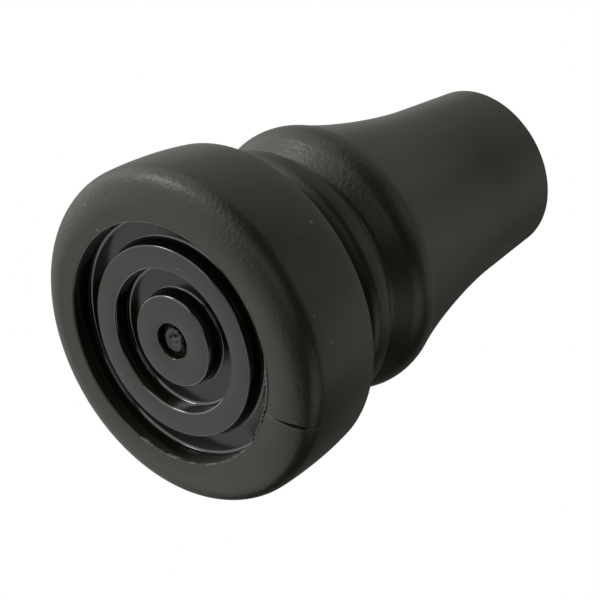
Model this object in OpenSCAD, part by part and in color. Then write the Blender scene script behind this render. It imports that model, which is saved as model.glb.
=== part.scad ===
// Rubber cane tip, moulded in one piece: a wide foot with a ringed sole, a
// neck that lets the foot tilt, and a socket that pushes onto a cane. The neck
// has a slot, a flange and a groove.
// Every surface turns about Z. The sole stands on z = 0 and the mouth faces +Z.

/* [Foot] */
// Widest diameter of the foot
foot_d = 50; // [44:0.5:60]
// Height of the foot, from the floor to its back edge
foot_h = 16; // [12:0.5:22]
// How much the side leans in, from its widest point to the back edge
side_lean = 1.3; // [0.4:0.1:2.5]
// Radius of the side's bow
side_r = 60; // [30:1:70]
// Width of the rolled corner, from the flat lip to the widest point
roll_w = 6; // [4:0.25:8]
// Slope of the roll where its two arcs meet, in degrees
roll_slope = 40; // [30:1:50]
// Radius of the soft arc next to the lip
roll_r = 8.1; // [4:0.1:12]
// Radius of the tighter arc next to the side
corner_r = 1.9; // [0.8:0.1:3]
// Radius of the parting edge at the back of the foot
back_edge_r = 0.2; // [0.1:0.05:0.6]

/* [Sole] */
// Diameter of the recess in the sole
recess_d = 36.2; // [32:0.2:37]
// How far the ring and the boss stay above the floor
sole_step = 0.85; // [0.4:0.05:1.6]
// Depth of the two channels, from the floor
channel_depth = 3.2; // [2.2:0.1:5]
// Outer diameter of the ring
ring_d = 28.6; // [26:0.2:30]
// Radial width of the ring
ring_w = 3.6; // [2.5:0.1:4.5]
// Diameter of the central boss
boss_d = 13.7; // [11:0.1:15]
// Diameter of the dimple that holds the gate mark
dimple_d = 5; // [4.2:0.1:7]
// Depth of the dimple, from the face of the boss
dimple_depth = 1.2; // [0.6:0.1:1.8]
// Diameter of the gate mark
gate_d = 3.5; // [1:0.1:3.8]
// How far the gate mark stands up from the dimple
gate_h = 0.8; // [0.2:0.1:1.1]
// Draft of the moulded walls in the sole, in degrees
draft = 3; // [0:0.5:6]
// Radius of the edges of the ring, the boss and the gate mark
sole_edge_r = 0.3; // [0.1:0.05:0.4]
// Radius in the corners of the channels and the dimple
channel_corner_r = 0.4; // [0.1:0.05:0.6]

/* [Slot] */
// Height of the slot between the foot and the flange, at its mouth
slot_h = 6; // [4:0.1:9]
// Height of the bottom of the slot
slot_floor_h = 2; // [1:0.1:3]
// Diameter at the bottom of the slot
slot_d = 31.4; // [26:0.2:35]
// How much the back of the foot rises towards the slot
back_rise = 0.6; // [0:0.1:1.5]
// Radius in the corners of the slot
slot_corner_r = 1; // [0.3:0.1:2]

/* [Flange] */
// Height of the flange's rim
flange_h = 2.4; // [1.5:0.1:5]
// Diameter at the flange's back edge
flange_d = 39.2; // [36:0.2:42]
// How much the rim leans in, from its back edge to its front edge
flange_lean = 0.15; // [0:0.05:1]
// Radius of the flange's front edge
flange_front_r = 1.8; // [0.3:0.1:2.5]
// Radius of the parting edge at the flange's back
flange_back_r = 0.3; // [0.1:0.05:0.8]

/* [Groove] */
// Height of the groove between the flange and the collar, at its mouth
groove_h = 6.7; // [4:0.1:9]
// How far the deepest place of the groove is behind the flange
groove_set = 2.3; // [1.5:0.1:3.5]
// Diameter at the bottom of the groove
groove_d = 32.6; // [28:0.2:36]
// Radius in the bottom of the groove
groove_r = 1.6; // [0.5:0.1:2.5]

/* [Collar] */
// Height of the collar, from its front corner to its shoulder
collar_h = 2.8; // [2:0.1:6]
// Diameter of the collar, before its corners are rounded
collar_d = 39.9; // [37:0.1:42]
// Radius of the collar's front corner
collar_front_r = 4; // [1:0.1:5]
// Radius of the shoulder
shoulder_r = 4.7; // [2:0.1:7]
// Slope of the tube just past the shoulder, in degrees
shoulder_slope = 22.5; // [18:0.5:30]

/* [Tube] */
// Height of the tube, from the shoulder to the mouth
tube_h = 36.1; // [32:0.1:45]
// Outer diameter at the mouth
mouth_d = 24.7; // [24:0.1:28]
// Taper of the tube at the mouth, in degrees
tube_taper = 5.8; // [3:0.1:8]
// Radius of the hollow sweep from the shoulder towards the mouth
sweep_r = 84; // [40:1:100]
// Radius of the mouth's outer edge
mouth_edge_r = 0.5; // [0.2:0.1:0.9]

/* [Socket] */
// Diameter of the socket, which is the cane's own diameter
socket_d = 19; // [16:0.5:20]
// Depth of the socket below the mouth
socket_depth = 44; // [36:1:46]
// Radius in the bottom corner of the socket
socket_corner_r = 1.5; // [0.5:0.25:3]
// Radius of the lead-in at the mouth
lead_in_r = 0.9; // [0.3:0.1:1.2]

/* [Quality] */
// Largest distance between an arc and the straight steps that draw it
arc_error = 0.005; // [0.002:0.001:0.05]
// Steps around the axis in a preview
$fn = 180; // [60:12:360]

/* [Hidden] */

// Heights above the floor
roll_z = roll_w / 2 * tan(roll_slope);
side_bend_z = (roll_z + foot_h) / 2;
slot_bottom_z = foot_h + back_rise;
flange_front_z = foot_h + slot_h;
flange_back_z = flange_front_z + flange_h;
groove_z = flange_back_z + groove_set;
collar_z = flange_back_z + groove_h;
shoulder_z = collar_z + collar_h;
total_h = shoulder_z + tube_h;
socket_z = total_h - socket_depth;
dimple_z = sole_step + dimple_depth;

// Distances from the axis
foot_r = foot_d / 2;
recess_r = recess_d / 2;
ring_r = ring_d / 2;
boss_r = boss_d / 2;
dimple_r = dimple_d / 2;
slot_bottom_r = slot_d / 2;
flange_r = flange_d / 2;
groove_bottom_r = groove_d / 2;
collar_r = collar_d / 2;
mouth_r = mouth_d / 2;
socket_r = socket_d / 2;

// How much a drafted wall spreads from the face of the sole to a channel floor
rim_spread = channel_depth * tan(draft);
channel_spread = (channel_depth - sole_step) * tan(draft);
dimple_spread = dimple_depth * tan(draft);

// Where the shoulder's slope meets the mouth's taper
sweep_z = (collar_r + shoulder_z * tan(shoulder_slope) - mouth_r - total_h * tan(tube_taper))
    / (tan(shoulder_slope) - tan(tube_taper));
sweep_edge_r = mouth_r + (total_h - sweep_z) * tan(tube_taper);

// The section to the right of the axis, in order from the gate mark round to
// the bottom of the socket. A corner is [distance from the axis, height, fillet].
gate_mark = [
    [0, dimple_z - gate_h, 0],
    [gate_d / 2, dimple_z - gate_h, sole_edge_r],
    [gate_d / 2, dimple_z, 0]
];
boss = [
    [dimple_r - dimple_spread, dimple_z, channel_corner_r],
    [dimple_r, sole_step, sole_edge_r],
    [boss_r, sole_step, sole_edge_r],
    [boss_r + channel_spread, channel_depth, channel_corner_r]
];
ring = [
    [ring_r - ring_w - channel_spread, channel_depth, channel_corner_r],
    [ring_r - ring_w, sole_step, sole_edge_r],
    [ring_r, sole_step, sole_edge_r],
    [ring_r + channel_spread, channel_depth, channel_corner_r]
];
foot = [
    [recess_r - rim_spread, channel_depth, channel_corner_r],
    [recess_r, 0, 0],
    [foot_r - roll_w / 2, 0, roll_r],
    [foot_r, roll_z, corner_r],
    [foot_r, side_bend_z, side_r],
    [foot_r - side_lean, foot_h, back_edge_r]
];
slot = [
    [slot_bottom_r, slot_bottom_z, slot_corner_r],
    [slot_bottom_r, slot_bottom_z + slot_floor_h, slot_corner_r]
];
flange = [
    [flange_r - flange_lean, flange_front_z, flange_front_r],
    [flange_r, flange_back_z, flange_back_r]
];
groove = [
    [groove_bottom_r, groove_z, groove_r]
];
collar = [
    [collar_r, collar_z, collar_front_r],
    [collar_r, shoulder_z, shoulder_r]
];
tube = [
    [sweep_edge_r, sweep_z, sweep_r],
    [mouth_r, total_h, mouth_edge_r]
];
socket = [
    [socket_r, total_h, lead_in_r],
    [socket_r, socket_z, socket_corner_r],
    [0, socket_z, 0]
];

function spot(corner) = [corner[0], corner[1]];
function unit(v) = v / norm(v);

// Half of the angle between the two edges that meet at corner b
function half_angle(a, b, c) = acos(unit(spot(a) - spot(b)) * unit(spot(c) - spot(b))) / 2;

// How far the fillet at corner b runs along its two edges
function reach(a, b, c) = b[2] / tan(half_angle(a, b, c));

// The share of two neighbouring fillets that the edge between them can hold
function room(a, b, reach_a, reach_b) = min(1, 0.995 * norm(spot(a) - spot(b)) / max(reach_a + reach_b, arc_error));

// How far one straight step turns on an arc of the given size
function step_angle(size) = 2 * acos(1 - arc_error / max(size, 1.1 * arc_error));

// The points of the fillet at corner b, or the corner itself where it has none
function fillet(a, b, c, size) =
    size < arc_error ? [spot(b)] :
    let (
        half = half_angle(a, b, c),
        to_a = unit(spot(a) - spot(b)),
        to_c = unit(spot(c) - spot(b)),
        centre = spot(b) + unit(to_a + to_c) * size / sin(half),
        start = spot(b) + to_a * size / tan(half) - centre,
        end = spot(b) + to_c * size / tan(half) - centre,
        turn = 180 - 2 * half,
        steps = max(2, ceil(turn / step_angle(size)))
    )
    [for (i = [0:steps]) centre + (start * sin(turn * (1 - i / steps)) + end * sin(turn * i / steps)) / sin(turn)];

// The outline of a list of corners, with every fillet drawn
function rounded(corners) =
    let (
        count = len(corners),
        before = [for (i = [0:count - 1]) corners[(i + count - 1) % count]],
        after = [for (i = [0:count - 1]) corners[(i + 1) % count]],
        reaches = [for (i = [0:count - 1]) reach(before[i], corners[i], after[i])],
        rooms = [for (i = [0:count - 1]) room(corners[i], after[i], reaches[i], reaches[(i + 1) % count])]
    )
    [for (i = [0:count - 1])
        each fillet(before[i], corners[i], after[i], corners[i][2] * min(rooms[i], rooms[(i + count - 1) % count]))];

module cane_tip() {
    color([0.15, 0.15, 0.14])
        rotate_extrude()
            polygon(rounded(concat(gate_mark, boss, ring, foot, slot, flange, groove, collar, tube, socket)));
}

cane_tip();
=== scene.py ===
import math

import bpy
from mathutils import Matrix, Vector, noise


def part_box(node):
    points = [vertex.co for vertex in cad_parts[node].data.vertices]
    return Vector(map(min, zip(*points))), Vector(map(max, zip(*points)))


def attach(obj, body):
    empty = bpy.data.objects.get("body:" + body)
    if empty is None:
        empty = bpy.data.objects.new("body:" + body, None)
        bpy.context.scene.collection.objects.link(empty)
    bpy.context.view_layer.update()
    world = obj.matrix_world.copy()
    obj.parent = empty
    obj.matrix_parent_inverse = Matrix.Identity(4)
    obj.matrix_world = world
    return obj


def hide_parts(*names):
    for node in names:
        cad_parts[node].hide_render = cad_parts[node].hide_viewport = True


mm = 0.001
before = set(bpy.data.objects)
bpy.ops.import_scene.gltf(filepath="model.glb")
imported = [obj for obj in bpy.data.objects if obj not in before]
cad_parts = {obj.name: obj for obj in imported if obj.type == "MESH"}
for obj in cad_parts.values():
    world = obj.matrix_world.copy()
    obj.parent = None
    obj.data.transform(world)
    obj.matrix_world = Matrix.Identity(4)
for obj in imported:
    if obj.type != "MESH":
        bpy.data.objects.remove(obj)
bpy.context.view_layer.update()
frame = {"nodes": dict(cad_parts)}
nodeLow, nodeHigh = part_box("cane_tip")
nodeSize = [round((b - a) / mm, 2) for a, b in zip(nodeLow, nodeHigh)]
print("frame loaded,", ", ".join(frame["nodes"]), nodeSize, "mm")


def freshSelection():
    if bpy.context.object and bpy.context.object.mode != "OBJECT":
        bpy.ops.object.mode_set(mode="OBJECT")
    bpy.ops.object.select_all(action="DESELECT")


def placeOnly(obj):
    freshSelection()
    obj.select_set(True)
    bpy.context.view_layer.objects.active = obj


# camera
cameraSetup = {
    "aim": (3.703, 2.381, 27.269),  # mm, the point that it looks at
    "distance": 572.017,  # mm
    "turn": -0.495,  # degrees round Z, 0 looks along +Y
    "height": -41.453,  # degrees above the floor, so it looks up at the sole
    "roll": 60.528,  # degrees
    "lens": 240,
    "sensor": 36,
    "clip": (0.02, 20),  # m
}


def addCamera(setup):
    turn, height = math.radians(setup["turn"]), math.radians(setup["height"])
    back = Vector((math.sin(turn) * math.cos(height), -math.cos(turn) * math.cos(height), math.sin(height)))
    aim = Vector(setup["aim"]) * mm
    bpy.ops.object.camera_add(location=aim + back * setup["distance"] * mm)
    cam = bpy.context.object
    cam.name = "camera"
    roll = Matrix.Rotation(math.radians(setup["roll"]), 3, "Z")
    cam.rotation_euler = ((-back).to_track_quat("-Z", "Y").to_matrix() @ roll).to_euler()
    cam.data.lens, cam.data.sensor_width = setup["lens"], setup["sensor"]
    cam.data.clip_start, cam.data.clip_end = setup["clip"]
    bpy.context.scene.camera = cam


addCamera(cameraSetup)
print("camera placed")


# shader helper: wraps one output socket of a node tree
class Wire:
    def __init__(self, tree, socket=None):
        self.tree, self.socket = tree, socket

    def node(self, kind, settings=None, sockets=None, out=0):
        made = self.tree.nodes.new(kind)
        for key, value in (settings or {}).items():
            setattr(made, key, value)
        for key, value in (sockets or {}).items():
            if isinstance(value, Wire):
                self.tree.links.new(value.socket, made.inputs[key])
            else:
                made.inputs[key].default_value = value
        return Wire(self.tree, made.outputs[out] if len(made.outputs) else None)

    def out(self, name):
        return Wire(self.tree, self.socket.node.outputs[name])

    def maths(self, operation, *values):
        return self.node("ShaderNodeMath", {"operation": operation}, dict(enumerate(values)))

    def __add__(self, other):
        return self.maths("ADD", self, other)

    __radd__ = __add__

    def __sub__(self, other):
        return self.maths("SUBTRACT", self, other)

    def __rsub__(self, other):
        return self.maths("SUBTRACT", other, self)

    def __mul__(self, other):
        return self.maths("MULTIPLY", self, other)

    __rmul__ = __mul__

    def __truediv__(self, other):
        return self.maths("DIVIDE", self, other)

    def __pow__(self, other):
        return self.maths("POWER", self, other)

    def __abs__(self):
        return self.maths("ABSOLUTE", self)

    def step(self, low, high):  # 0 below low, 1 above high, soft between
        return self.node(
            "ShaderNodeMapRange",
            {"interpolation_type": "SMOOTHSTEP", "clamp": True},
            {"Value": self, "From Min": low, "From Max": high},
            "Result",
        )


# floor and light
studio = {
    "floorSize": 3.0,  # m
    "floorHeight": -0.0002,  # m, just under the lip, so that the two never lie in one plane
    "floorColour": (0.86, 0.86, 0.85),
    "floorGlow": 0.16,
    "worldLight": 0.004,
    "lampsAim": 30,  # mm above the floor
    "lampsFar": 0.6,  # m
    "warmest": (1, 0.97, 0.88),  # colour of a lamp whose warmth is 1
    # each lamp: the way to it from its aim, how wide it looks from there in degrees, brightness, warmth
    "lamps": {
        "key": ((-0.911, 0.124, -0.393), 20.0, 8.6, 0.0),
        "softLeft": ((-0.878, 0.238, -0.414), 103.2, 1.172, 0.0),
        "lowBack": ((0.365, 0.658, -0.659), 66.2, 0.960, 0.0),
        "lowMiddle": ((0.068, 0.231, -0.971), 38.0, 0.503, 0.0),
        "lowFront": ((-0.076, -0.673, -0.735), 38.0, 0.693, 0.0),
        "back": ((-0.332, 0.879, 0.342), 77.8, 0.589, 0.4),
        "farRight": ((0.911, -0.403, -0.088), 38.0, 0.974, 0.4),
        "front": ((0.018, -0.866, 0.500), 38.0, 0.566, 0.4),
        "highLeft": ((-0.643, -0.185, 0.743), 69.6, 0.428, 1.0),
        "highRight": ((0.594, -0.436, 0.676), 38.0, 0.441, 1.0),
        "highMiddle": ((0.416, -0.349, 0.840), 56.0, 0.198, 1.0),
        "top": ((0.087, -0.224, 0.971), 38.0, 0.268, 1.0),
        "topRight": ((0.501, 0.146, 0.853), 38.0, 0.163, 1.0),
        "backRight": ((0.547, 0.623, 0.559), 38.0, 0.135, 1.0),
    },
}


def addFloor(setup):
    freshSelection()
    bpy.ops.mesh.primitive_plane_add(size=setup["floorSize"], location=(0, 0, setup["floorHeight"]))
    floor = bpy.context.object
    floor.name = "floor"
    floor.visible_shadow = False
    floor.visible_diffuse = False
    floor.visible_glossy = False
    mat = bpy.data.materials.new("paleFloor")
    mat.use_nodes = True
    mat.node_tree.nodes.clear()
    s = Wire(mat.node_tree)
    paint = s.node("ShaderNodeBsdfPrincipled", None, {
        "Base Color": (*setup["floorColour"], 1),
        "Roughness": 1.0,
        "Emission Color": (1, 1, 1, 1),
        "Emission Strength": setup["floorGlow"],
    })
    clear = s.node("ShaderNodeBsdfTransparent")
    under = s.node("ShaderNodeNewGeometry", None, None, "Backfacing")
    mix = s.node("ShaderNodeMixShader", None, {0: under, 1: paint, 2: clear})
    s.node("ShaderNodeOutputMaterial", None, {"Surface": mix})
    floor.data.materials.append(mat)


# white to the camera, and nearly dark to everything else
def addWorld(setup):
    world = bpy.data.worlds.new("studioWorld")
    bpy.context.scene.world = world
    world.use_nodes = True
    world.node_tree.nodes.clear()
    s = Wire(world.node_tree)
    seen = s.node("ShaderNodeLightPath", None, None, "Is Camera Ray")
    strength = seen + (1 - seen) * setup["worldLight"]
    back = s.node("ShaderNodeBackground", None, {"Color": (1, 1, 1, 1), "Strength": strength})
    s.node("ShaderNodeOutputWorld", None, {"Surface": back})


def addLamps(setup):
    aim, far = Vector((0, 0, setup["lampsAim"] * mm)), setup["lampsFar"]
    for name, (towards, width, brightness, warmth) in setup["lamps"].items():
        towards = Vector(towards).normalized()
        radius = far * math.tan(math.radians(width / 2))
        bpy.ops.object.light_add(type="AREA", location=aim + towards * far)
        light = bpy.context.object
        light.name = name
        light.visible_camera = False
        light.rotation_euler = towards.to_track_quat("Z", "Y").to_euler()
        light.data.shape = "DISK"
        light.data.color = [1 - (1 - c) * warmth for c in setup["warmest"]]
        light.data.size = 2 * radius
        light.data.energy = brightness * math.pi * math.pi * radius ** 2  # W, for that brightness


addFloor(studio)
addWorld(studio)
addLamps(studio)
print("floor, world and lamps placed")


# rubber body, as wide and as high as the frame says, mm
footRadius, mouthHeight = round(nodeHigh[0] / mm, 3), round(nodeHigh[2] / mm, 3)
body = {
    "around": 360,
    "smoothBelow": 28,  # degrees between two faces, the most that still looks smooth
    # corners of the section, mm: distance from the axis, height, fillet, steps in the fillet
    "corners": [
        (1.2, 2.05, 0, 1),  # floor of the dimple
        (2.60, 2.05, 0.3, 3),
        (2.66, 0.80, 0.22, 3),  # boss
        (6.85, 0.90, 0.35, 5),
        (6.98, 3.4, 0.4, 5),  # inner channel
        (10.57, 3.4, 0.55, 6),
        (10.7, 0.85, 0.35, 5),  # ring
        (14.3, 0.85, 0.24, 4),
        (14.43, 3.4, 0.6, 6),  # outer channel
        (17.92, 3.4, 0.6, 6),
        (18.1, 0, 0.3, 5),  # lip
        (22.0, 0, 6.8, 14),
        (footRadius, 2.517, 3.0, 10),  # side of the foot
        (footRadius, 9.259, 54, 16),
        (23.7, 16.0, 0.2, 4),
        (15.7, 16.6, 1.0, 6),  # slot
        (15.7, 18.6, 1.0, 5),
        (19.45, 22.0, 1.8, 10),  # flange
        (19.6, 24.4, 0.3, 4),
        (16.3, 26.7, 1.6, 8),  # groove
        (19.95, 31.1, 4.0, 12),  # collar
        (19.95, 33.9, 4.7, 12),
        (12.35, mouthHeight, 0.5, 4),  # mouth
        (9.5, mouthHeight, 0.9, 5),
        (9.5, 26.0, 1.5, 5),  # bottom of the socket
    ],
    # one more corner on the tube, where the collar's slope meets the mouth's taper: both in degrees,
    # its place in the list, its fillet in mm and the steps in it
    "sweep": {"slope": 22.5, "taper": 5.8, "place": 22, "fillet": 84, "steps": 24},
    "slack": 0.004,  # mm, how far from its corner a ring may be found
}


def sweepCorner(setup):
    sweep, corners = setup["sweep"], setup["corners"]
    slope, taper = math.tan(math.radians(sweep["slope"])), math.tan(math.radians(sweep["taper"]))
    collar, shoulder = corners[sweep["place"] - 1][:2]
    mouth, top = corners[sweep["place"]][:2]
    height = (collar + shoulder * slope - mouth - top * taper) / (slope - taper)
    return (mouth + (top - height) * taper, height, sweep["fillet"], sweep["steps"])


def selectRing(obj, radius, height, slack):
    bpy.ops.object.mode_set(mode="OBJECT")
    mesh = obj.data
    radius, height, slack = radius * mm, height * mm, slack * mm
    chosen = [
        abs(math.hypot(v.co.x, v.co.y) - radius) < slack and abs(v.co.z - height) < slack
        for v in mesh.vertices
    ]
    mesh.vertices.foreach_set("select", chosen)
    mesh.edges.foreach_set("select", [chosen[e.vertices[0]] and chosen[e.vertices[1]] for e in mesh.edges])
    mesh.polygons.foreach_set("select", [False] * len(mesh.polygons))
    bpy.ops.object.mode_set(mode="EDIT")


# how far a fillet runs along the two edges that meet at its corner
def reachOf(before, corner, after):
    a = Vector((before[0] - corner[0], before[1] - corner[1])).normalized()
    b = Vector((after[0] - corner[0], after[1] - corner[1])).normalized()
    return corner[2] / math.tan(a.angle(b) / 2)


def buildBody(setup):
    corners = list(setup["corners"])
    corners.insert(setup["sweep"]["place"], sweepCorner(setup))
    freshSelection()
    r, z = corners[0][:2]
    bpy.ops.mesh.primitive_circle_add(
        vertices=setup["around"], radius=r * mm, fill_type="NOTHING", location=(0, 0, z * mm)
    )
    obj = bpy.context.object
    obj.name = "rubber_body"
    bpy.ops.object.transform_apply(location=True)
    bpy.ops.object.mode_set(mode="EDIT")
    bpy.ops.mesh.select_mode(type="EDGE")
    bpy.ops.mesh.select_all(action="SELECT")
    for (r0, z0, *_), (r1, z1, *_) in zip(corners, corners[1:]):
        bpy.ops.mesh.extrude_region_move(TRANSFORM_OT_translate={"value": (0, 0, (z1 - z0) * mm)})
        bpy.ops.transform.resize(value=(r1 / r0, r1 / r0, 1), center_override=(0, 0, z1 * mm))
    bpy.ops.mesh.edge_face_add()  # bottom of the socket
    selectRing(obj, *corners[0][:2], setup["slack"])
    bpy.ops.mesh.edge_face_add()  # floor of the dimple
    ends = [(0, corners[0][1]), *corners, (0, corners[-1][1])]
    for before, corner, after in zip(ends, ends[1:], ends[2:]):
        if corner[2]:
            selectRing(obj, *corner[:2], setup["slack"])
            bpy.ops.mesh.select_mode(type="EDGE")
            bpy.ops.mesh.bevel(
                offset_type="OFFSET", offset=reachOf(before, corner, after) * mm, segments=corner[3],
                profile=0.5, affect="EDGES", clamp_overlap=False, loop_slide=False,
            )
    bpy.ops.mesh.select_all(action="SELECT")
    bpy.ops.mesh.normals_make_consistent(inside=False)
    bpy.ops.object.mode_set(mode="OBJECT")
    placeOnly(obj)
    bpy.ops.object.shade_smooth_by_angle(angle=math.radians(setup["smoothBelow"]))
    return obj


def softStep(value, low, high):  # 0 below low, 1 above high, soft between
    share = min(1, max(0, (value - low) / (high - low)))
    return share * share * (3 - 2 * share)


def turnAt(x, y):
    return math.degrees(math.atan2(y, x))


# crease across the lip: the rubber folded over itself, from the recess to the side
crease = {
    "turn": -37.0,  # degrees round Z
    # the faces that get finer: degrees to each side, outside this radius and below this height, mm
    "sector": 3.6,
    "finerFrom": 18.15,
    "finerTop": 4.5,
    "cuts": 3,
    # distance from the axis plus height, mm: where it starts, is deepest, starts to fade and is gone
    "start": 18.3,
    "deepest": 24.0,
    "fade": (25.7, 26.7),
    # what may move, mm: outside this radius, below this height, this far to each side
    "movesFrom": 18.1,
    "movesTop": 5,
    "movesWide": 1.3,
    "depth": 0.24,
    "ragged": (0.25, 1.7, 3),  # share of the depth, how fast it changes per mm, seed
    "width": 0.34,
    "widthShares": (0.35, 0.65),  # at its start, and what it gains to the deepest place
    "slopes": (1.6, 0.10),  # the soft side in widths, the sharp side in mm
    "rise": (0.07, 0.16, 0.12),  # the raised edge of the sharp side, mm: height, middle, width
}


def pressCrease(obj, setup):
    placeOnly(obj)
    mesh = obj.data
    chosen = []
    for face in mesh.polygons:
        x, y, z = face.center / mm
        inSector = abs(turnAt(x, y) - setup["turn"]) < setup["sector"]
        chosen.append(inSector and math.hypot(x, y) > setup["finerFrom"] and z < setup["finerTop"])
    bpy.ops.object.mode_set(mode="EDIT")
    bpy.ops.mesh.select_mode(type="FACE")
    bpy.ops.object.mode_set(mode="OBJECT")
    mesh.vertices.foreach_set("select", [False] * len(mesh.vertices))
    mesh.edges.foreach_set("select", [False] * len(mesh.edges))
    mesh.polygons.foreach_set("select", chosen)
    bpy.ops.object.mode_set(mode="EDIT")
    bpy.ops.mesh.subdivide(number_cuts=setup["cuts"])
    bpy.ops.object.mode_set(mode="OBJECT")
    (raggedShare, pace, seed), (narrow, gain) = setup["ragged"], setup["widthShares"]
    (soft, sharp), (riseHeight, riseMiddle, riseWidth) = setup["slopes"], setup["rise"]
    moves = []
    for v in mesh.vertices:
        x, y, z = v.co / mm
        radius = math.hypot(x, y)
        across = math.radians(turnAt(x, y) - setup["turn"]) * radius
        along = radius + z
        if radius < setup["movesFrom"] or z > setup["movesTop"] or abs(across) > setup["movesWide"]:
            continue
        if not setup["start"] < along < setup["fade"][1]:
            continue
        strength = softStep(along, setup["start"], setup["deepest"]) * (1 - softStep(along, *setup["fade"]))
        width = setup["width"] * (narrow + gain * strength)
        sink = 1 - (softStep(-across, 0, width * soft) if across < 0 else softStep(across, 0, sharp))
        rise = math.exp(-((across - riseMiddle) / riseWidth) ** 2)
        ragged = 1 + raggedShare * noise.noise(Vector((along * pace, 0, seed)))
        moves.append((v.index, (riseHeight * rise - setup["depth"] * sink * ragged) * strength * mm))
    normals = {index: mesh.vertices[index].normal.copy() for index, _ in moves}
    for index, move in moves:
        place = mesh.vertices[index].co + normals[index] * move
        place.z = max(0, place.z)
        mesh.vertices[index].co = place


# thin torn flash on the rim of the recess
rimFlash = {
    "around": 720,
    "radius": 18.16,
    "height": 0.08,
    "thick": 0.05,
    "rows": (0.997, 0.994),  # each row's radius as a share of the row before
    "least": 0.03,  # mm, how far it reaches inwards between its stretches
    # degrees round Z: from, to, how far it reaches inwards in mm, how ragged it is
    "stretches": [
        (-60, -16, 0.26, 1.44), (-16, 60, 0.10, 0.96), (60, 120, 0.05, 0.80), (150, 240, 0.07, 0.64),
    ],
    "fade": 3,  # degrees at each end of a stretch
    "tears": ((2.3, 1.0, 5), (6.1, 0.6, 1)),  # how fast they change per mm, how strong they are, seed
    "margin": 0.05,  # mm from the rim, where the reach is measured from
    "curl": (1.9, 0.8, 9),  # how fast it changes per mm, share of the reach, seed
    "lift": (0.02, -0.04),  # mm: what is added everywhere, and the least that a place is lifted
}


def flashReach(setup, x, y):
    turn, reach, fade = turnAt(x, y), setup["least"], setup["fade"]
    torn = sum(
        strength * noise.noise(Vector((x * pace, y * pace, seed)))
        for pace, strength, seed in setup["tears"]
    )
    for low, high, size, ragged in setup["stretches"]:
        for here in (turn, turn + 360):
            if low < here < high:
                ends = softStep(here, low, low + fade) * (1 - softStep(here, high - fade, high))
                reach = max(reach, size * ends * (1 + ragged * torn))
    return reach


def buildRimFlash(setup):
    freshSelection()
    radius = setup["radius"]
    bpy.ops.mesh.primitive_circle_add(
        vertices=setup["around"], radius=radius * mm, fill_type="NOTHING",
        location=(0, 0, setup["height"] * mm),
    )
    obj = bpy.context.object
    obj.name = "rim_flash"
    bpy.ops.object.transform_apply(location=True)
    bpy.ops.object.mode_set(mode="EDIT")
    bpy.ops.mesh.select_mode(type="EDGE")
    bpy.ops.mesh.select_all(action="SELECT")
    for share in setup["rows"]:
        bpy.ops.mesh.extrude_region_move(TRANSFORM_OT_translate={"value": (0, 0, 0)})
        bpy.ops.transform.resize(value=(share, share, 1), center_override=(0, 0, 0))
    bpy.ops.object.mode_set(mode="OBJECT")
    middleRow = radius * setup["rows"][0]
    innerRow = middleRow * setup["rows"][1]
    (pace, share, seed), (lift, least) = setup["curl"], setup["lift"]
    for v in obj.data.vertices:
        x, y, _ = v.co / mm
        here = math.hypot(x, y)
        if here > (radius + middleRow) / 2:  # the outer row stays
            continue
        reach = flashReach(setup, x, y)
        inwards = reach if here < (middleRow + innerRow) / 2 else reach / 2
        new = radius - setup["margin"] - inwards
        v.co.x, v.co.y = v.co.x * new / here, v.co.y * new / here
        v.co.z += max(least, noise.noise(Vector((x * pace, y * pace, seed))) * reach * share + lift) * mm
    placeOnly(obj)
    solid = obj.modifiers.new("thickness", "SOLIDIFY")
    solid.thickness, solid.offset = setup["thick"] * mm, 0
    bpy.ops.object.modifier_apply(modifier="thickness")
    return obj


rubberBody = buildBody(body)
pressCrease(rubberBody, crease)
rimFlashPiece = buildRimFlash(rimFlash)
print("body turned,", len(rubberBody.data.polygons), "faces")


# torn gate stub in the dimple
stub = {
    "around": 72,
    "radius": 1.80,
    "foot": 2.15,
    "face": 1.15,
    "wallSteps": (0.25, 0.25),  # mm from the foot, the last step goes on to the face
    # shares of the radius
    "rings": [0.96, 0.90, 0.82, 0.74, 0.66, 0.58, 0.50, 0.42, 0.34, 0.26, 0.18, 0.10],
    # what stands up from the face or sinks into it, mm: x, y, spread, height
    "lumps": [
        (-1.15, 0.35, 0.36, 0.14), (-0.70, 0.72, 0.36, 0.18), (-0.20, 1.00, 0.36, 0.18),
        (0.28, 1.22, 0.34, 0.14), (-1.35, -0.45, 0.42, 0.08), (-0.96, -0.49, 0.19, 0.20),
        (0.30, -1.40, 0.28, 0.12), (0.70, -1.05, 0.30, 0.16), (1.00, -0.65, 0.30, 0.16),
        (1.28, -0.05, 0.32, 0.14), (0.25, -0.15, 0.42, 0.16),
        (-0.39, -0.74, 0.28, -0.42), (-0.62, -0.10, 0.24, -0.22), (-0.10, -1.20, 0.24, -0.30),
        (0.45, -0.68, 0.20, -0.14), (0.85, 0.75, 0.28, -0.10),
    ],
    "tears": ((3.1, 1.0), (7.3, 0.5)),  # how fast they change per mm, how strong they are
    "roughness": 0.010,  # mm, how much the tears lift the face
    "wall": (0.93, 0.12),  # share of the radius where it starts, share that the tears move it
    "edge": (0.86, 1.6),  # share of the radius where the face starts to fall, mm that it falls per radius
    "margin": 0.1,  # mm: nothing moves this close to the foot, and this close to the face is the face
    "smoothBelow": 60,
}


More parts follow.
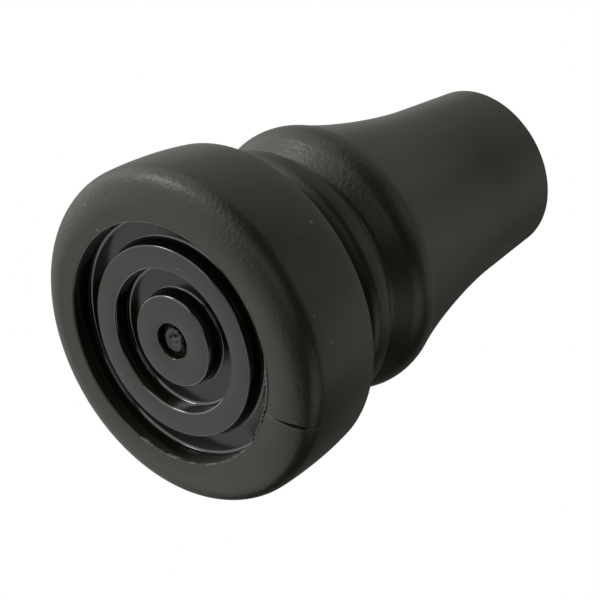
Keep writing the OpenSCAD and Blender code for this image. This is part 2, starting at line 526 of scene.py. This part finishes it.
def buildStub(setup):
    freshSelection()
    foot, face, margin = setup["foot"], setup["face"], setup["margin"]
    bpy.ops.mesh.primitive_circle_add(
        vertices=setup["around"], radius=setup["radius"] * mm, fill_type="NGON", location=(0, 0, foot * mm)
    )
    obj = bpy.context.object
    obj.name = "gate_stub"
    bpy.ops.object.transform_apply(location=True)
    bpy.ops.object.mode_set(mode="EDIT")
    bpy.ops.mesh.select_mode(type="FACE")
    bpy.ops.mesh.select_all(action="SELECT")
    for step in (*setup["wallSteps"], foot - sum(setup["wallSteps"]) - face):
        bpy.ops.mesh.extrude_region_move(TRANSFORM_OT_translate={"value": (0, 0, -step * mm)})
    size = 1
    for share in setup["rings"]:
        bpy.ops.mesh.extrude_region_move(TRANSFORM_OT_translate={"value": (0, 0, 0)})
        bpy.ops.transform.resize(value=(share / size, share / size, 1), center_override=(0, 0, 0))
        size = share
    bpy.ops.mesh.select_all(action="SELECT")
    bpy.ops.mesh.normals_make_consistent(inside=False)
    bpy.ops.object.mode_set(mode="OBJECT")
    (wallFrom, wallRagged), (edgeFrom, edgeFall) = setup["wall"], setup["edge"]
    for v in obj.data.vertices:
        x, y, z = v.co / mm
        if z > foot - margin:
            continue
        share = math.hypot(x, y) / setup["radius"]
        ragged = sum(strength * noise.noise(Vector((x, y, z)) * pace) for pace, strength in setup["tears"])
        if share > wallFrom:
            v.co.x *= 1 + ragged * wallRagged
            v.co.y *= 1 + ragged * wallRagged
        if z < face + margin:
            rise = sum(
                high * math.exp(-((x - middleX) ** 2 + (y - middleY) ** 2) / spread ** 2)
                for middleX, middleY, spread, high in setup["lumps"]
            )
            fall = max(0, share - edgeFrom) * edgeFall
            v.co.z -= (rise + ragged * setup["roughness"] - fall) * mm
    placeOnly(obj)
    bpy.ops.object.shade_smooth_by_angle(angle=math.radians(setup["smoothBelow"]))
    return obj


gateStub = buildStub(stub)
print("gate stub torn,", len(gateStub.data.polygons), "faces")


def metres(values):
    return [v * mm for v in values]


# masks for the finish: each is a Wire, 0 where nothing changes and 1 where all of it does
def below(value, low, high):
    return 1 - value.step(low, high)


def near(value, middle, inner, outer):  # 1 close to the middle, 0 beyond outer
    return below(abs(value - middle), inner, outer)


def between(value, low, high, soft):  # 1 from low to high, 0 beyond a soft end
    return value.step(low - soft, low) * below(value, high, high + soft)


def noiseAt(s, place, scale, detail, roughness):
    return s.node("ShaderNodeTexNoise", None, {
        "Vector": place, "Scale": scale, "Detail": detail, "Roughness": roughness,
    })


def mixed(s, share, first, second):  # two colours, each a Wire or three numbers
    first, second = (c if isinstance(c, Wire) else (*c, 1) for c in (first, second))
    colourSockets = {0: share, 6: first, 7: second}
    return s.node("ShaderNodeMix", {"data_type": "RGBA"}, colourSockets, 2)


# crease in the finish, mm and degrees: "along" is the distance from the axis plus the height
creaseFinish = {
    "lean": (4.0, 0.78),  # above this height it turns, by this many degrees per mm
    "waver": 1.6,  # degrees
    "opens": (19.0, 24.5),  # along, where it starts to open and where it is open
    "widths": (0.30, 0.03),  # what it gains, its width before it opens
    # from and to, and how soft its ends are: across in widths, along in mm
    # the groove's dark is painted shade in the crease; the edge's pale is a painted highlight on its raised
    # side
    "groove": {"across": (-1.0, -0.1, 0.6), "along": (20.4, 25.6, 1.2), "dark": 0.8, "depth": 0.06},
    # middle and half widths across, then along
    "edge": {"across": (0.06, 0.03, 0.12), "along": (18.3, 26.2, 0.6), "pale": 0.5},
    "trace": {
        "across": (0.06, 0.03, 0.16), "along": (27.0, 35.0, 2.0), "patches": (0.42, 0.6), "pale": 0.3,
    },
}


def creaseMasks(setup, s, spot):
    z, radius = spot["z"], spot["radius"]
    groove, edge, trace = setup["groove"], setup["edge"], setup["trace"]
    leanFrom, lean = setup["lean"]
    leaning = s.maths("MAXIMUM", z - leanFrom * mm, 0.0) * (lean / mm)
    middle = leaning + crease["turn"] + (spot["cloud"] - 0.5) * setup["waver"]
    across = (spot["turn"] - middle) * radius * (math.pi / 180)
    along = radius + z
    gain, least = metres(setup["widths"])
    width = along.step(*metres(setup["opens"])) * gain + least
    grooveMask = between(across / width, *groove["across"]) * between(along, *metres(groove["along"]))
    edgeMask = near(across, *metres(edge["across"])) * between(along, *metres(edge["along"]))
    traceMask = near(across, *metres(trace["across"])) * between(along, *metres(trace["along"]))
    traceMask = traceMask * spot["patch"].step(*trace["patches"])
    # painted shade in the groove, painted highlight on the edge, and the pale trace
    return grooveMask * groove["dark"], edgeMask * edge["pale"] + traceMask * trace["pale"]


# lines on the lip, and the parting line: the split and the tears are painted shade, the lip's line is a
# painted highlight, and the parting line is a flash line with a painted highlight; middle and half widths
# in mm, stretches and softness in degrees
lineFinish = {
    "lipHeight": (0.4, 0.6),  # the lip's lines fade out between these
    "split": {"radius": (18.34, 0.04, 0.11), "turns": (-58.0, -38.0, 2.0)},
    "torn": {"radius": (18.10, 0.06, 0.22), "turns": (-37.5, -19.0, 1.5), "patches": (0.50, 0.56)},
    "lip": {"radius": (18.12, 0.04, 0.12), "turns": (-22.0, 62.0, 6.0), "patches": (0.46, 0.60)},
    "evenTurns": [(-180.0, -122.0, 6.0), (140.0, 180.0, 6.0)],  # where the lip's line has no patches
    "evenPale": 0.6,
    "parting": {
        "height": (15.92, 0.05, 0.16), "radius": (23.4, 23.6), "patches": (0.30, 0.6), "pale": 0.35,
    },
}


def lineMasks(setup, spot):
    z, radius, turn, patch = spot["z"], spot["radius"], spot["turn"], spot["patch"]
    split, torn, lip, parting = setup["split"], setup["torn"], setup["lip"], setup["parting"]
    low = below(z, *metres(setup["lipHeight"]))
    splitShadeMask = near(radius, *metres(split["radius"])) * between(turn, *split["turns"])
    tornShadeMask = near(radius, *metres(torn["radius"])) * between(turn, *torn["turns"])
    tornShadeMask = tornShadeMask * patch.step(*torn["patches"])
    stretches = between(turn, *lip["turns"]) * patch.step(*lip["patches"])
    for turns in setup["evenTurns"]:
        stretches = stretches + between(turn, *turns) * setup["evenPale"]
    lipHighlightMask = low * near(radius, *metres(lip["radius"])) * stretches
    partingMask = near(z, *metres(parting["height"])) * radius.step(*metres(parting["radius"]))
    partingMask = partingMask * patch.step(*parting["patches"])
    # painted shade in the split and the tears, painted highlight on the lip's line and on the parting line
    return splitShadeMask * low + tornShadeMask * low, lipHighlightMask + partingMask * parting["pale"]


# painted shade on the channel floors, mm and degrees
channelShadeFinish = {
    "floorHeight": (2.0, 2.8),  # it fades in between these
    "outerEdge": (14.6, 17.2),
    # on the outer edge: how dark it is above the crease, everywhere and in rows, then its other stretches
    "rows": {
        "scales": (0.02, 2.4, 2.4),  # per degree, per mm of height and per mm of radius
        "edges": (0.62, 0.40), "turns": (-80.0, -38.0, 8.0), "dark": (0.35, 0.4),
    },
    "stretches": [((-150.0, -95.0, 10.0), 0.6), ((-33.0, -10.0, 5.0), 0.5)],
    # on the whole floor, and more of it in the inner channel
    "everywhere": 0.10,
    "inner": {"from": (7.2, 9.0), "to": (10.8, 11.0), "turns": (-105.0, -45.0, 15.0), "dark": 0.30},
}


def channelShadeMask(setup, s, spot):
    z, radius, turn = spot["z"], spot["radius"], spot["turn"]
    rows, inner = setup["rows"], setup["inner"]
    perDegree, perHeight, perRadius = rows["scales"]
    stretched = s.node("ShaderNodeCombineXYZ", None, {
        0: turn * perDegree, 1: z * (perHeight / mm), 2: radius * (perRadius / mm),
    })
    pattern = s.node("ShaderNodeTexNoise", None, {"Vector": stretched})
    even, added = rows["dark"]
    outer = between(turn, *rows["turns"]) * (even + pattern.step(*rows["edges"]) * added)
    for turns, dark in setup["stretches"]:
        outer = outer + between(turn, *turns) * dark
    innerMask = radius.step(*metres(inner["from"])) * below(radius, *metres(inner["to"]))
    innerMask = innerMask * between(turn, *inner["turns"]) * inner["dark"]
    floorMask = spot["sole"] * z.step(*metres(setup["floorHeight"]))
    edgeMask = floorMask * radius.step(*metres(setup["outerEdge"]))
    return edgeMask * outer + floorMask * (setup["everywhere"] + innerMask)


# pale specks, mm: where, and how far each reaches
paleSpecks = [
    ((-4.98, -23.74, 12.88), 0.30), ((10.57, -22.56, 6.46), 0.22), ((6.35, -24.16, 4.56), 0.18),
    ((-4.72, -24.27, 9.22), 0.16), ((9.92, -22.94, 3.40), 0.16), ((-22.41, 2.00, 0.78), 0.22),
    ((-8.27, -8.65, 0.85), 0.20), ((0.66, 13.28, 0.85), 0.16), ((1.64, 10.46, 3.05), 0.16),
    ((-18.49, 1.29, 0.02), 0.24),
]


def paleSpecksMask(specks, s, place):
    mask = 0
    for point, size in specks:
        ends = {0: place, 1: metres(point)}
        away = s.node("ShaderNodeVectorMath", {"operation": "DISTANCE"}, ends, "Value")
        mask = below(away, size * mm / 2, size * mm) + mask
    return mask


# grain of the mould: mm, and degrees round Z
grainFinish = {
    "size": 0.56,
    "detail": 1.5,
    "roughness": 0.6,
    "pits": 0.9,  # their scale, as a share of the grain's
    "share": 0.45,  # how much of each is in the grain
    "depth": 0.08,
    # deep on the rolled corner of the foot and on the collar's shoulder, less where they are worn
    "corner": {"height": (0.4, 3.4, 1.0), "radius": (20.5, 22.5), "worn": 0.5},
    "shoulder": {"height": (28.5, 36.0, 2.0), "worn": 0.85},
    "wornTurns": (-88.0, 30.0, 22.0),
    "shares": (0.85, 0.15),  # of the depth: what the deep places gain, and what the others have
    "lessOnSole": 0.95,
}


def grainHeight(setup, s, spot):
    z, place, size = spot["z"], spot["place"], setup["size"] * mm
    corner, shoulder = setup["corner"], setup["shoulder"]
    lumps = noiseAt(s, place, 1 / size, setup["detail"], setup["roughness"])
    pitSockets = {"Vector": place, "Scale": setup["pits"] / size}
    pits = s.node("ShaderNodeTexVoronoi", None, pitSockets, "Distance")
    worn = between(spot["turn"], *setup["wornTurns"])
    onCorner = between(z, *metres(corner["height"])) * spot["radius"].step(*metres(corner["radius"]))
    onShoulder = between(z, *metres(shoulder["height"]))
    deep = onCorner * (1 - worn * corner["worn"]) + onShoulder * (1 - worn * shoulder["worn"])
    gain, least = setup["shares"]
    height = (lumps * setup["share"] - pits * setup["share"]) * (1 - spot["sole"] * setup["lessOnSole"])
    return height * (deep * gain + least) * (setup["depth"] * mm)


# rubber finish, mm and degrees
rubber = {
    "colour": (0.019, 0.0185, 0.009),
    "shades": (0.85, 1.15),  # shares of the colour, from cloud to cloud
    "shadeEdges": (0.35, 0.7),
    "soleColour": (0.0160, 0.0155, 0.0105),
    # the channels' colour is darker than the sole's: painted shade down in the channels
    "channelShadeColour": (0.0055, 0.0052, 0.0022),
    "channelHeight": (1.0, 1.4),  # where the sole's colour ends and the channel's is full
    # the pale colour is for painted highlights on edges and lines, and for the pale specks
    "paleColour": (0.16, 0.16, 0.15),
    "specksPale": 0.8,
    # colour of the dark sheet that paints shade
    "paintedShadeColour": (0.004, 0.004, 0.004),
    "roughness": 0.40,
    "rougher": {"clouds": 0.06, "sole": -0.25, "dimple": 0.6, "stub": -0.40},  # what each adds
    "ior": 1.5,
    "coat": {"roughness": 0.1, "ior": 1.6, "radius": (4.0, 5.0), "tilt": (0.15, 0.93, 0.05)},
    "clouds": (90.0, 4.0, 0.55),  # scale per m, detail, roughness
    "patches": (900.0, 2.0, 0.5),
    # the sole, the dimple and the stub's top: each is full inside the first number and ends at the second
    "sole": {"radius": (18.00, 18.12), "height": (3.6, 4.2)},
    # the dimple's dark is painted shade in its moat, and the stub's top has less of it
    "dimple": {"radius": (2.58, 2.64), "height": (2.2, 2.6), "dark": 0.6},
    "stubTop": {"radius": (1.90, 2.00), "lessDark": 0.6},
    # painted shade on the channels' walls towards -X: tilt is 0 on an upright face and 1 on a level one
    "walls": {"tilt": (0.20, 0.40), "turns": (95.0, 110.0), "dark": 0.5},
    # painted shade in the slot behind the foot, dark and dull inside
    "slot": {"height": (16.2, 20.8, 1.2), "radius": (17.0, 19.5), "dark": 0.75},
}


# what every mask is made from
def spotOf(setup, s):
    place = s.node("ShaderNodeTexCoord", None, None, "Object")
    parts = s.node("ShaderNodeSeparateXYZ", None, {0: place})
    x, y, z = parts, parts.out("Y"), parts.out("Z")
    radius = (x * x + y * y) ** 0.5
    facing = s.node("ShaderNodeNewGeometry", None, None, "Normal")
    sole = setup["sole"]
    return {
        "place": place,
        "z": z,
        "radius": radius,
        "turn": s.maths("ARCTAN2", y, x) * (180 / math.pi),
        "tilt": abs(s.node("ShaderNodeSeparateXYZ", None, {0: facing}, "Z")),
        "cloud": noiseAt(s, place, *setup["clouds"]),
        "patch": noiseAt(s, place, *setup["patches"]),
        "sole": below(radius, *metres(sole["radius"])) * below(z, *metres(sole["height"])),
    }


def matteRubber(setup):
    mat = bpy.data.materials.new("matteRubber")
    mat.use_nodes = True
    mat.node_tree.nodes.clear()
    s = Wire(mat.node_tree)
    spot = spotOf(setup, s)
    z, radius, turn, tilt, cloud, sole = (spot[k] for k in ("z", "radius", "turn", "tilt", "cloud", "sole"))
    walls, slot, dimple, coat = setup["walls"], setup["slot"], setup["dimple"], setup["coat"]

    groove, creasePale = creaseMasks(creaseFinish, s, spot)
    tears, linesPale = lineMasks(lineFinish, spot)
    wallShadeMask = sole * below(tilt, *walls["tilt"]) * abs(turn).step(*walls["turns"])
    slotMask = between(z, *metres(slot["height"])) * below(radius, *metres(slot["radius"]))
    # painted shade on the channel floors, the walls and the slot
    shaded = channelShadeMask(channelShadeFinish, s, spot) + wallShadeMask * walls["dark"] + slotMask * slot["dark"]
    # all painted shade, with the crease's groove and the rim's split and tears
    dark = s.maths("MINIMUM", groove + tears + shaded, 1.0)
    # pale: painted highlights on the crease's edge, the lip's line and the parting line, the crease's
    # trace, and the pale specks
    pale = (creasePale + linesPale) * (1 - dark) + paleSpecksMask(paleSpecks, s, spot["place"]) * setup["specksPale"]
    dimpleMask = below(radius, *metres(dimple["radius"])) * below(z, *metres(dimple["height"]))
    stubMask = below(radius, *metres(setup["stubTop"]["radius"]))

    shades = [[c * share for c in setup["colour"]] for share in setup["shades"]]
    outside = mixed(s, cloud.step(*setup["shadeEdges"]), *shades)
    inside = mixed(s, z.step(*metres(setup["channelHeight"])), setup["soleColour"], setup["channelShadeColour"])
    colour = mixed(s, pale, mixed(s, sole, outside, inside), setup["paleColour"])

    add = setup["rougher"]
    rough = (cloud - 0.5) * add["clouds"] + setup["roughness"] + sole * add["sole"]
    rough = rough + dimpleMask * (stubMask * add["stub"] + add["dimple"])
    # the small fillets of the sole are glossier
    gloss = sole * radius.step(*metres(coat["radius"])) * between(tilt, *coat["tilt"])
    height = grainHeight(grainFinish, s, spot) - groove * (creaseFinish["groove"]["depth"] * mm)
    bump = s.node("ShaderNodeBump", None, {"Strength": 1.0, "Distance": 1.0, "Height": height})
    skin = s.node("ShaderNodeBsdfPrincipled", None, {
        "Base Color": colour, "Roughness": rough, "Normal": bump, "IOR": setup["ior"],
        "Coat Weight": gloss, "Coat Roughness": coat["roughness"], "Coat IOR": coat["ior"],
    })
    # a dark diffuse sheet for the painted shade, mixed in by the masks below
    paintedShadeSheet = s.node("ShaderNodeBsdfDiffuse", None, {"Color": (*setup["paintedShadeColour"], 1)})
    # painted shade share: the dark masks, and the dimple's moat with less on the stub's top
    paintedShadeShare = dark + dimpleMask * (dimple["dark"] - stubMask * setup["stubTop"]["lessDark"])
    mix = s.node("ShaderNodeMixShader", None, {0: paintedShadeShare, 1: skin, 2: paintedShadeSheet})
    s.node("ShaderNodeOutputMaterial", None, {"Surface": mix})
    return mat


rubberSkin = matteRubber(rubber)
for piece in (rubberBody, gateStub, rimFlashPiece):
    piece.data.materials.clear()
    piece.data.materials.append(rubberSkin)
    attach(piece, "root")
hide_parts("cane_tip")
print("rubber finish on")

bpy.context.scene.view_settings.view_transform = "Standard"
